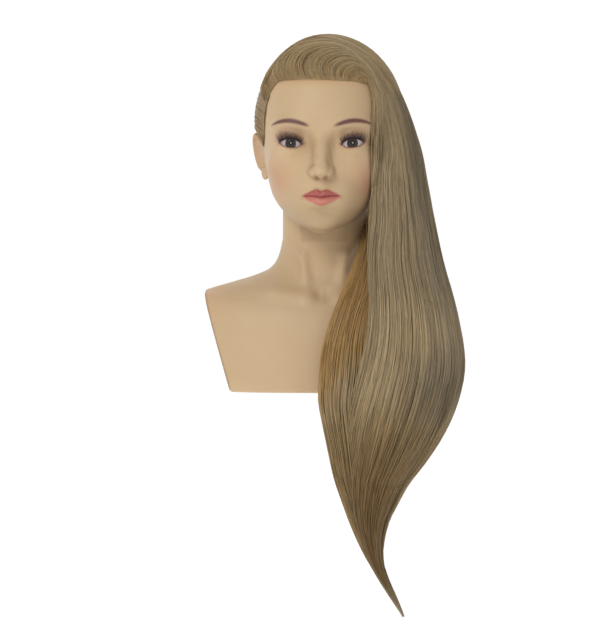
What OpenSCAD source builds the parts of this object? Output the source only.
// Hairdresser's training head on a shoulder bust, with hair hanging over its left shoulder.
// +Z is up, the face looks along -Y, +X is the mannequin's own left.
// The origin is the centre of the holder socket's mouth, on the underside of the base.

/* [Skin] */
// Wall thickness of the moulded vinyl skin
skin_wall = 3.0; // [2.4:0.2:3.6]
// Gap between neighbouring pieces that only touch
gap = 0.4; // [0.3:0.1:0.6]

/* [Bust] */
// Half the width between the two arm cuts at the base
cut_half_width = 102; // [96:1:106]
// How far each arm cut leans out, per mm of height
cut_lean = 0.295; // [0.25:0.005:0.32]

/* [Base] */
// Thickness of the base plate
plate_height = 6; // [5:0.5:8]
// Radius of the holder socket's bore
bore_radius = 12.75; // [12:0.25:14]
// Depth of the holder socket's bore
bore_depth = 80; // [60:5:90]
// Wall of the holder socket
socket_wall = 3.5; // [3:0.5:5]
// Radius of the socket's inner flange
flange_radius = 36; // [34:1:40]

/* [Eyes] */
// Half the distance between the pupils
eye_x = 33.4; // [33:0.2:34]
// Radius of the eyeball
eye_radius = 14.5; // [14.5:0.1:14.6]
// Radius of the printed iris
iris_radius = 5.9; // [5:0.1:6.2]

/* [Hair] */
// Thickness of the combed hair on the scalp
cap_depth = 8; // [6:0.5:9]
// Extra height of the combed-up front and crown
wave_height = 6; // [3:0.5:8]
// Half the thickness of the hanging hair where it bends
bend_radius = 19; // [17:0.5:20]

/* [Hidden] */

skin_color = [0.84, 0.68, 0.52];
hair_color = [0.55, 0.45, 0.31];
gold_color = [0.62, 0.47, 0.25];
steel_color = [0.78, 0.78, 0.80];

// Insets from the outside of the skin
lining_inset = skin_wall + gap;
lining_depth = 1.4;
foam_inset = skin_wall + 2 * gap + 1.6;

// ---- lofted bodies ------------------------------------------------------
// The top of the cranium is half an ellipsoid: height of its centre, and its radii
dome_z = 308;
dome_half_width = 75;
dome_half_length = 91;
dome_height = 78;
function dome_row(angle, front_squareness) = [
  dome_z + dome_height * sin(angle), dome_half_width * cos(angle),
  0, -dome_half_length * cos(angle), front_squareness, dome_half_length * cos(angle), 2.0];

// Each row is a level section: [z, half width, y of the widest point,
// front y, front squareness, back y, back squareness].
head_rows = [
  [172.5, 9,   -76, -84,   2.0,  -66,  2.0],
  [175,   15,  -72, -90,   2.0,  -58,  2.0],
  [180,   24,  -66, -94.5, 2.0,  -44,  2.0],
  [188,   34,  -54, -96,   2.0,  -22,  2.0],
  [197,   43.5,-42, -95.5, 2.05, 0,    2.0],
  [206,   51,  -32, -94,   2.1,  18,   2.0],
  [216,   57,  -26, -94,   2.1,  34,   2.0],
  [227,   61,  -20, -94,   2.15, 48,   2.0],
  [239,   64,  -15, -93,   2.2,  60,   2.0],
  [252,   66.2,-10, -91.5, 2.25, 70,   2.0],
  [265,   68,  -6,  -90.5, 2.25, 78,   2.0],
  [278,   70,  -3,  -91.5, 2.3,  84.5, 2.0],
  [291,   73,  -1,  -92.5, 2.3,  89,   2.0],
  [304,   75,  0,   -92,   2.2,  91,   2.0],
  for (angle = [8 : 10 : 78]) dome_row(angle, 2.1),
  dome_row(84, 2.0)
];
bust_rows = [
  [0,   134,  -6, -79,   2.6, 57,   2.8],
  [3,   137,  -6, -81,   2.6, 59,   2.8],
  [30,  142,  -5, -83,   2.5, 63,   2.7],
  [60,  149,  -2, -81,   2.5, 67,   2.7],
  [84,  155,  2,  -75,   2.5, 70,   2.6],
  [98,  158,  5,  -68,   2.4, 71,   2.5],
  [105, 155,  7,  -63,   2.3, 71,   2.4],
  [110, 140,  8,  -59,   2.3, 70,   2.3],
  [115, 124,  9,  -55,   2.2, 69,   2.2],
  [121, 103,  10, -51,   2.1, 66,   2.1],
  [128, 80,   10, -48,   2.0, 62,   2.0],
  [136, 63,   9,  -46.5, 2.0, 58,   2.0],
  [146, 55,   7,  -46,   2.0, 54,   2.0],
  [158, 51,   5,  -46.5, 2.0, 51.5, 2.0],
  [172, 48.5, 3,  -48,   2.0, 51,   2.0],
  [190, 48.5, 3,  -49,   2.0, 53,   2.0],
  [214, 48,   5,  -46,   2.0, 57,   2.0],
  [236, 44,   8,  -36,   2.0, 56,   2.0]
];

// Catmull-Rom curve from b to c; a and d are the values on either side
function spline(a, b, c, d, t) = 0.5 * (2*b + (c - a)*t + (2*a - 5*b + 4*c - d)*t*t
  + (3*b - a - 3*c + d)*t*t*t);
// Row at a fractional index: z runs straight between rows, the rest follows the spline
function row_at(rows, index) =
  let (last = len(rows) - 1, i = min(floor(index), last - 1), t = index - i,
       before = rows[max(i - 1, 0)], from = rows[i], to = rows[i + 1], after = rows[min(i + 2, last)])
  [for (k = [0 : 6]) k == 0 ? from[0] + (to[0] - from[0]) * t
                            : spline(before[k], from[k], to[k], after[k], t)];
function squared(value, squareness) = sign(value) * pow(abs(value), 2 / squareness);
// One ring of count points round a section, grown on every side
function ring(row, grow, count) = [for (i = [0 : count - 1])
  let (angle = 360 * i / count, front = cos(angle) > 0, mid_y = row[2],
       squareness = front ? row[4] : row[6],
       depth = front ? mid_y - row[3] + grow : row[5] - mid_y + grow)
  [(row[1] + grow) * squared(sin(angle), squareness),
   mid_y - depth * squared(cos(angle), squareness), row[0]]];

// Stacks rings of equal point count, bottom first, into a closed solid
module stack(rings) {
  m = len(rings);
  n = len(rings[0]);
  sides = [for (j = [0 : m - 2]) for (i = [0 : n - 1]) let (k = (i + 1) % n) each
    [[(j + 1)*n + i, j*n + k, j*n + i], [(j + 1)*n + i, (j + 1)*n + k, j*n + k]]];
  bottom = [for (i = [0 : n - 1]) i];
  top = [for (i = [n - 1 : -1 : 0]) (m - 1)*n + i];
  polyhedron(points = [for (points = rings) each points],
             faces = concat(sides, [bottom, top]), convexity = 6);
}

// Head grown on every side; the crown and chin move by the same amount
module head_body(grow, count, steps) {
  stack([for (j = [0 : steps])
    let (row = row_at(head_rows, (len(head_rows) - 1) * j / steps),
         crown = min(1, max(0, (row[0] - dome_z) / dome_height)),
         chin = min(1, max(0, (190 - row[0]) / 17)))
    [for (p = ring(row, grow, count)) [p[0], p[1], p[2] + grow * crown * crown - grow * chin]]]);
}
// Bust grown on every side, its shoulders upward too; the lowest ring lies at bottom_z
module bust_body(grow, count, steps, bottom_z = 0) {
  stack([for (j = [0 : steps])
    let (row = row_at(bust_rows, (len(bust_rows) - 1) * j / steps),
         shoulder = max(0, 1 - abs(row[0] - 116) / 16))
    [for (p = ring(row, grow, count)) [p[0], p[1], j == 0 ? bottom_z : p[2] + grow * shoulder]]]);
}
// Space between the two arm cuts
module between_cuts(grow) {
  low_z = -20;
  high_z = 260;
  low_x = cut_half_width + grow + low_z * cut_lean;
  high_x = cut_half_width + grow + high_z * cut_lean;
  rotate([90, 0, 0]) linear_extrude(height = 400, center = true)
    polygon([[-low_x, low_z], [low_x, low_z], [high_x, high_z], [-high_x, high_z]]);
}
module bust_cut(grow, count, steps, bottom_z = 0) {
  intersection() {
    bust_body(grow, count, steps, bottom_z);
    between_cuts(grow);
  }
}

// ---- face and ears ------------------------------------------------------
eye_y = -78.5;
eye_z = 270.5;
ear_centre = [-70.5, 12, 262]; // right ear

module blob(centre, radii, fn = 16) {
  translate(centre) scale(radii) sphere(r = 1, $fn = fn);
}
module nose() {
  // bridge
  hull() {
    blob([0, -90, 276], [5, 5, 7]);
    blob([0, -107, 243], [8, 8, 8]);
  }
  // tip and wings
  for (side = [1, -1]) hull() {
    blob([0, -108, 241], [9, 9, 8]);
    blob([side * 8, -101, 238], [6.5, 8, 6]);
  }
}
module lips() {
  blob([0, -89, 216], [17, 9.5, 4.6]);
  blob([0, -88.5, 208], [15, 10, 5.4]);
}
module ear_blob(centre, radii, fn) {
  translate(centre) rotate([0, 14, 0]) rotate([0, 0, 24]) scale(radii) sphere(r = 1, $fn = fn);
}
// Right ear, a raised rim round a hollow shell
module ear() difference() {
  ear_blob(ear_centre, [7.5, 15, 27], 18);
  ear_blob([-78, 8, 264], [5, 9, 18], 14);
}
module eye_at(side) {
  translate([side * eye_x, eye_y, eye_z]) children();
}
// Almond slit between the lids, as a prism running forward
module slit() {
  rotate([90, 0, 0]) linear_extrude(height = 40) intersection() {
    translate([0, -9.2]) circle(r = 14.6, $fn = 28);
    translate([0, 10.2]) circle(r = 14.8, $fn = 28);
  }
}
// Front of a ball that covers the eyeball
module lids() intersection() {
  sphere(r = eye_radius + 2.6, $fn = 24);
  translate([0, -12, 0]) cube([60, 30, 60], center = true);
}

// ---- skin, lining and core ----------------------------------------------
module head_skin() color(skin_color) resize([0, 0, 0]) difference() {
  union() {
    head_body(0, 40, 36);
    bust_cut(0, 40, 26);
    nose();
    lips();
    ear();
    mirror([1, 0, 0]) ear();
    for (side = [-1, 1]) eye_at(side) lids();
  }
  head_body(-skin_wall, 24, 18);
  bust_cut(-skin_wall, 24, 17, -1);
  for (side = [-1, 1]) eye_at(side) {
    sphere(r = eye_radius + gap + 0.3, $fn = 24);
    slit();
  }
}

// Latex lining that locks the hair roots inside the scalp
module root_lining() color([0.86, 0.83, 0.74]) resize([0, 0, 0]) intersection() {
  difference() {
    head_body(-lining_inset, 24, 18);
    head_body(-lining_inset - lining_depth, 24, 18);
  }
  scalp(3);
  above(240);
}

module foam_core() color([0.93, 0.90, 0.80]) resize([0, 0, 0]) difference() {
  bottom_z = plate_height + gap;
  union() {
    head_body(-foam_inset, 24, 18);
    intersection() {
      bust_cut(-skin_wall - 2 * gap, 24, 17, bottom_z);
      translate([0, 0, 150 + bottom_z]) cube([400, 400, 300], center = true);
    }
  }
  // room for the socket, its flange and ribs
  translate([0, 0, -1]) cylinder(r = socket_radius + gap, h = bore_depth + 10.5, $fn = 28);
  translate([0, 0, -1]) cylinder(r = flange_radius + gap, h = plate_height + 6, $fn = 32);
  for (a = [0 : 90 : 270]) rotate([0, 0, a]) translate([bore_radius, -rib_width / 2 - gap, 0])
    cube([20, rib_width + 2 * gap, 42]);
  at_base_screws() cylinder(r = 2.3, h = 31, $fn = 12);
  for (side = [-1, 1]) eye_at(side) sphere(r = eye_radius + gap + 0.5, $fn = 20);
}

// ---- base ---------------------------------------------------------------
socket_radius = bore_radius + socket_wall;
flange_height = 4;
rib_width = 3;
screw_circle = 28; // radius on which the socket screws stand

// The front screws curve back towards the sides
base_points = [for (x = [-78, -30, 30, 78]) each [[x, abs(x) > 50 ? -50 : -62], [x, 40]]];

module at_base_screws() {
  for (p = base_points) translate([p[0], p[1], 0]) children();
}
module at_socket_screws() {
  for (a = [45 : 90 : 315]) rotate([0, 0, a]) translate([screw_circle, 0, 0]) children();
}
// Hole through the plate with a cone for the screw's head on the underside
module countersunk_hole(radius, mouth_radius, cone_end_radius, cone_height) {
  translate([0, 0, -1]) cylinder(r = radius, h = plate_height + 2, $fn = 24);
  translate([0, 0, -0.01])
    cylinder(r1 = mouth_radius, r2 = cone_end_radius, h = cone_height, $fn = 24);
}

module base_plate() color([0.16, 0.16, 0.17]) difference() {
  inset = skin_wall + gap;
  half_width = cut_half_width - inset;
  linear_extrude(height = plate_height)
    polygon([for (p = ring(bust_rows[0], -inset, 24))
      [max(-half_width, min(half_width, p[0])), p[1]]]);
  translate([0, 0, -1]) cylinder(r = socket_radius + 0.3, h = plate_height + 2, $fn = 48);
  at_socket_screws() countersunk_hole(2.15, 4.3, 2.1, 2.4);
  at_base_screws() countersunk_hole(2.0, 4.0, 2.0, 2.2);
}

module holder_socket() color([0.13, 0.13, 0.14]) difference() {
  union() {
    cylinder(r = socket_radius, h = bore_depth + 4, $fn = 64);
    translate([0, 0, plate_height + 0.1]) cylinder(r = flange_radius, h = flange_height, $fn = 64);
    // triangular ribs from the tube to the flange
    for (a = [0 : 90 : 270]) rotate([0, 0, a])
      translate([socket_radius - 1, rib_width / 2, plate_height + flange_height])
        rotate([90, 0, 0]) linear_extrude(height = rib_width) polygon([[0, 0], [17, 0], [0, 30]]);
  }
  translate([0, 0, -1]) cylinder(r = bore_radius, h = bore_depth + 1, $fn = 64);
  at_socket_screws() translate([0, 0, plate_height - 1]) cylinder(r = 1.95, h = 8, $fn = 24);
}

// Countersunk screw, head down, with a cross recess
module screw(radius, head_radius, length) translate([0, 0, 0.1]) difference() {
  union() {
    cylinder(r1 = head_radius, r2 = radius, h = head_radius - radius, $fn = 24);
    cylinder(r = radius, h = length, $fn = 24);
  }
  translate([0, 0, 0.4]) cube([head_radius * 1.3, 0.9, 2], center = true);
  translate([0, 0, 0.4]) cube([0.9, head_radius * 1.3, 2], center = true);
}
module socket_screws() color(steel_color) at_socket_screws() screw(1.85, 3.9, plate_height + 3.6);
module base_screws() color(steel_color) at_base_screws() screw(1.75, 3.6, 29);

// ---- eyes ---------------------------------------------------------------
cornea_back = eye_radius - 2.7; // flat back of the cornea, in front of the eye's centre

// Turns a profile round the eye's axis; the profile's y points forward
module revolve_to_front() rotate([90, 0, 0]) rotate_extrude($fn = 48) children();
module eyeball(side) color([0.95, 0.94, 0.92]) eye_at(side) revolve_to_front() difference() {
  intersection() {
    circle(r = eye_radius, $fn = 64);
    translate([0, -5]) square([30, 30]);
  }
  translate([-1, -6]) square([1, 40]);
  // well for the iris and cornea, 0.1 wider than they are
  translate([-1, 0]) square([iris_radius + 1.1, 30]);
}
module iris(side) color([0.30, 0.20, 0.14]) eye_at(side)
  rotate([90, 0, 0]) translate([0, 0, 0.1]) cylinder(r = iris_radius, h = cornea_back - 0.2, $fn = 40);
module cornea(side) color([0.95, 0.97, 1.0, 0.35]) eye_at(side) revolve_to_front() intersection() {
  circle(r = eye_radius, $fn = 64);
  translate([0, cornea_back]) square([iris_radius, 10]);
}
// Upper lash strip: a thin curved band on the lid's edge
module lashes(side) color([0.08, 0.06, 0.06]) eye_at(side)
  translate([0, 0, 1.6]) rotate([-12, 0, 0])
    rotate_extrude(angle = 80, start = 230, $fn = 48)
      translate([eye_radius + 3.2, 3.2]) polygon([[0, 0], [5.5, 1.6], [5.5, 2.3], [0, 1.2]]);

// ---- hair on the scalp --------------------------------------------------
hair_gap = gap + 0.3;
// Planes where the scalp pieces meet; each piece stops half_seam short
front_seam_y = -34;
back_seam_y = 40;
crown_seam_z = 340;
half_seam = 0.2;
front_limit_y = -150;
back_limit_y = 150;
top_limit_z = 460;
side_x = 150;

wave_centre = [6, -6, 318];
wave_radii = [dome_half_width + 2, dome_half_length - 6, dome_height - 8 + wave_height];

// Hair-bearing part of the head, inset from its edge
module scalp(inset = 0) {
  // over the top, above the hairline and the ears
  intersection() {
    translate([0, 0, 292 + inset + 100]) cube([300, 300, 200], center = true);
    rotate([90, 0, 90]) linear_extrude(height = 300, center = true)
      polygon([[-120, 352 + inset], [-70, 332 + inset], [-46, 312 + inset], [-30, 280],
               [140, 280], [140, 460], [-120, 460]]);
  }
  // behind the ears, down to the nape
  rotate([90, 0, 90]) linear_extrude(height = 300, center = true)
    polygon([[34 + inset, 300], [34 + inset, 262 + inset], [56, 214 + inset],
             [140, 200 + inset], [140, 300]]);
}
module hair_cap() head_body(cap_depth, 32, 20);
module head_room() head_body(hair_gap, 40, 36);
module wave(grow) {
  translate(wave_centre) scale(wave_radii + [grow, grow, grow]) sphere(r = 1, $fn = 28);
}

module cap_shell() difference() {
  hair_cap();
  head_room();
}
// Behind the ears the hair also covers the top of the neck
module nape_shell() difference() {
  union() {
    hair_cap();
    intersection() {
      bust_body(cap_depth - 2, 24, 17);
      above(190);
    }
  }
  head_room();
  bust_body(hair_gap, 40, 26);
}
// The combed-up part stands higher than the rest
module high_shell() difference() {
  union() {
    hair_cap();
    wave(0);
  }
  head_room();
}
// Part of a shell on the scalp, within ranges [from, to] along each axis
module scalp_part(y, z, x = [-side_x, side_x]) resize([0, 0, 0]) intersection() {
  children();
  scalp();
  translate([x[0], y[0], z[0]]) cube([x[1] - x[0], y[1] - y[0], z[1] - z[0]]);
}
middle_y = [front_seam_y + half_seam, back_seam_y - half_seam];
side_z = [200, crown_seam_z - half_seam];

module hair_front_wave() color(hair_color)
  scalp_part([front_limit_y, front_seam_y - half_seam], [200, top_limit_z]) high_shell();
module hair_crown() color(hair_color)
  scalp_part(middle_y, [crown_seam_z + half_seam, top_limit_z]) high_shell();
module hair_side_right() color(hair_color)
  scalp_part(middle_y, side_z, [-side_x, 0]) cap_shell();
module hair_side_left() color(hair_color)
  scalp_part(middle_y, side_z, [0, side_x]) cap_shell();
module hair_back() color(hair_color)
  scalp_part([back_seam_y + half_seam, back_limit_y], [190, top_limit_z]) nape_shell();

// ---- hanging hair -------------------------------------------------------
pivot_top = [86, -78, 150];    // where the fall leaves the drape
pivot_mid = [66, -106, -24];   // below the bust
pivot_tip = [47, -100, -150];  // where the fall has narrowed
tip_bend_radius = 25;
turn_gap = 1;                  // between a rounded end and the length above it
lock_gap = 0.8;                // round a lock that lies inside another
body_gap = 1.2;                // between hanging hair and the skin

// Each row is [z, x centre, y centre, half width, half depth, turn of the section about Z]
fall_rows = [
  [342,  70, -14,  14,   34,   14],
  [326,  80, -14,  12,   42,   8],
  [306,  86, -16,  12,   46,   4],
  [282,  92, -20,  13,   46,   2],
  [256,  95, -28,  15,   43,   -2],
  [230,  93, -38,  20,   37,   -8],
  [204,  90, -52,  26,   29,   -10],
  [176,  88, -68,  32,   22,   -6],
  [150,  88, -78,  38,   19,   0],
  [120,  91, -88,  43,   19,   4],
  [88,   94, -98,  47,   18,   6],
  [56,   94, -105, 51,   18,   6],
  [24,   88, -108, 57,   18,   4],
  [-4,   76, -108, 66,   18,   2],
  [-28,  66, -106, 66,   17.5, 0],
  [-56,  60, -104, 59,   17,   0],
  [-84,  54, -102, 49,   16,   0],
  [-110, 49, -101, 39,   15,   0],
  [-136, 46, -100, 29,   13.5, 0],
  [-160, 46, -100, 20,   12,   0],
  [-184, 50, -100, 12.5, 10,   0],
  [-208, 60, -100, 9,    8,    0],
  [-232, 73, -100, 6,    5.5,  0],
  [-250, 81, -100, 2.4,  2.4,  0]
];
// Nape hair brought forward under the drape
nape_rows = [
  [226, 57,   44,  5,  11, 0],
  [206, 59.5, 28,  6,  15, 0],
  [188, 60,   4,   7,  17, -8],
  [172, 60,   -24, 9,  18, -16],
  [158, 55,   -46, 12, 13, -16],
  [146, 48,   -56, 14, 9,  -8]
];
inner_rows = [
  [140, 46, -64, 16, 9, -4],
  [120, 43, -71, 20, 9, -4],
  [98,  39, -83, 24, 9, -2],
  [74,  33, -92, 28, 9, 0],
  [50,  27, -96, 31, 9, 0],
  [28,  22, -98, 29, 9, 0],
  [10,  21, -99, 25, 9, 0]
];

function lock_ring(row, count) = [for (i = [0 : count - 1])
  let (angle = 360 * i / count, turn = row[5], x = row[3] * cos(angle), y = row[4] * sin(angle))
  [row[1] + x * cos(turn) - y * sin(turn), row[2] + x * sin(turn) + y * cos(turn), row[0]]];
function widened(rows, grow) =
  [for (r = rows) [r[0], r[1], r[2], r[3] + grow, r[4] + grow, r[5]]];
// Solid lock of hair; its rows run from the top down
module lock(rows, count) {
  stack([for (j = [len(rows) - 1 : -1 : 0]) lock_ring(rows[j], count)]);
}
module fall() lock(fall_rows, 24);

module below(z) {
  translate([0, 0, z - 300]) cube([700, 700, 600], center = true);
}
module above(z) {
  translate([0, 0, z + 300]) cube([700, 700, 600], center = true);
}
// Rounded end of a moving length, so that it can turn under the one above
module turning_end(pivot, tilt, radius) {
  below(pivot[2]);
  translate(pivot) rotate(tilt) cylinder(r = radius, h = 300, center = true, $fn = 32);
}
along_x = [0, 90, 0];
along_y = [90, 0, 0];

// Room left in the hanging hair for its neighbours
module bust_room() bust_cut(body_gap, 28, 20);
module nape_room() lock(widened(nape_rows, lock_gap), 18);
module ear_room() hull() {
  blob(ear_centre, [12, 19, 30], 20);
  blob([-60, 12, 262], [12, 19, 30], 20);
}
// Inner lock made deeper towards the back, and longer at both ends
module inner_room() {
  lock([for (r = inner_rows) [r[0] + (r[0] > 130 ? 40 : (r[0] < 20 ? -8 : 0)),
    r[1] - 1, r[2] + 6, r[3] + 1, r[4] + 7, r[5]]], 20);
}

module hair_drape() color(hair_color) resize([0, 0, 0]) difference() {
  intersection() {
    fall();
    above(pivot_top[2] + bend_radius + turn_gap);
  }
  head_body(cap_depth + 0.6, 32, 20);
  wave(0.7);
  bust_room();
  mirror([1, 0, 0]) ear_room();
  nape_room();
}

module hair_nape_layer() color(gold_color) resize([0, 0, 0]) difference() {
  lock(nape_rows, 18);
  head_body(body_gap, 28, 18);
  bust_room();
}

module hair_fall_outer() color(hair_color) resize([0, 0, 0]) difference() {
  intersection() {
    fall();
    turning_end(pivot_top, along_x, bend_radius);
    above(pivot_mid[2] + bend_radius + turn_gap);
  }
  bust_room();
  inner_room();
  lock(widened(inner_rows, lock_gap), 20);
  nape_room();
}

module hair_fall_inner() color(gold_color) resize([0, 0, 0]) difference() {
  intersection() {
    lock(inner_rows, 20);
    below(138);
    above(8);
  }
  bust_room();
}

module hair_lower() color(hair_color) resize([0, 0, 0]) intersection() {
  fall();
  turning_end(pivot_mid, along_x, bend_radius);
  above(pivot_tip[2] + tip_bend_radius + turn_gap);
}
module hair_tip() color(hair_color) resize([0, 0, 0]) intersection() {
  fall();
  turning_end(pivot_tip, along_y, tip_bend_radius);
}

head_skin();
root_lining();
foam_core();
base_plate();
holder_socket();
socket_screws();
base_screws();
eyeball(-1);  // eyeball_right
eyeball(1);  // eyeball_left
iris(-1);  // iris_right
iris(1);  // iris_left
cornea(-1);  // cornea_right
cornea(1);  // cornea_left
lashes(-1);  // lashes_right
lashes(1);  // lashes_left
hair_front_wave();
hair_crown();
hair_side_right();
hair_side_left();
hair_back();
hair_drape();
hair_nape_layer();
hair_fall_outer();
hair_fall_inner();
hair_lower();
hair_tip();
